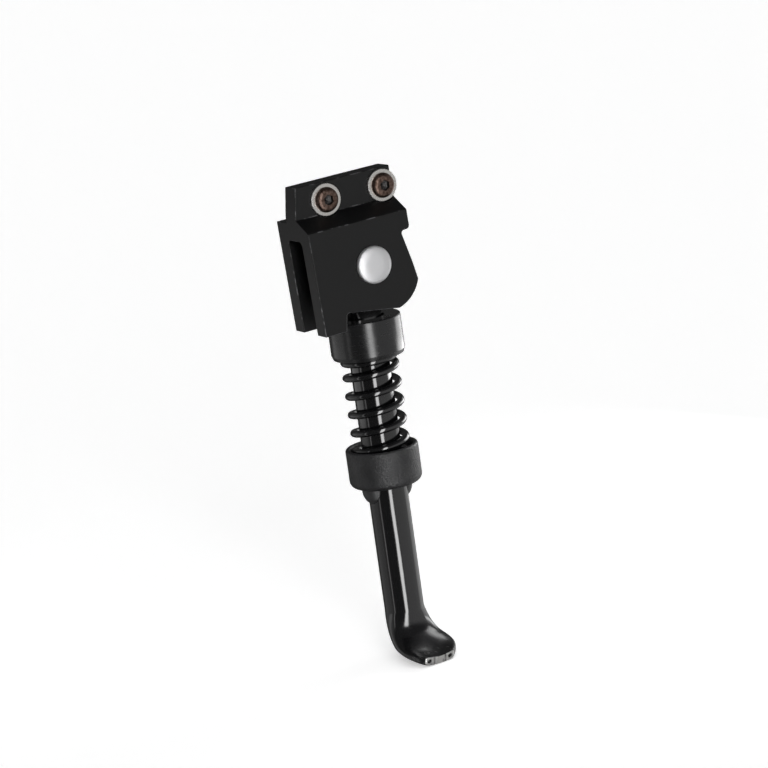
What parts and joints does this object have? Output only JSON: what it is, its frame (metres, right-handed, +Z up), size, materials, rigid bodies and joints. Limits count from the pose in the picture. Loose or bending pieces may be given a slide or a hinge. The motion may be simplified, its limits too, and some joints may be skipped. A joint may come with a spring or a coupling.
{
  "type": "spring-loaded side stand",
  "caption": "Side stand for a small two-wheeler: milled bracket, pivot bolt, cranked leg, coil spring, sliding cam collar and spring cup.",
  "frame": {"origin": "on the back face of the bracket's tab, level with its two screws and straight above the pivot", "axes": "+Z up, +Y inwards out of the tab's back face, +X towards the rear of the vehicle; the stand is down at rest"},
  "size_m": [0.0482, 0.048, 0.207],
  "materials": {
    "bracket_black": "satin black anodised aluminium",
    "screw_steel": "bright steel",
    "bolt_steel": "smooth bright",
    "nut_zinc": "zinc plated",
    "leg_black": "gloss black",
    "collar_black": "high gloss black",
    "spring_black": "gloss black",
    "cup_rubber": "matt, fine-grained"
  },
  "bodies": {
    "bracket": {"side_stand_bracket": "bracket_black", "mount_screw_front": "screw_steel", "mount_screw_rear": "screw_steel", "pivot_bolt": "bolt_steel", "pivot_nut": "nut_zinc"},
    "leg": {"stand_leg": "leg_black", "spring_cup": "cup_rubber", "return_spring": "spring_black"},
    "collar": {"cam_collar": "collar_black"}
  },
  "joints": [
    {"name": "stand_swing", "type": "hinge", "parent": "bracket", "child": "leg", "pos_m": [0, -0.0046, -0.0295], "axis": [0, -1, 0], "range_deg": [0, 92]},
    {"name": "collar_slide", "type": "slide", "parent": "leg", "child": "collar", "axis": [-0.0349, 0, -0.9994], "range_m": [0, 0.018], "stiffness_N_per_m": 16000, "springref_m": -0.002, "deforming": ["return_spring"]}
  ]
}
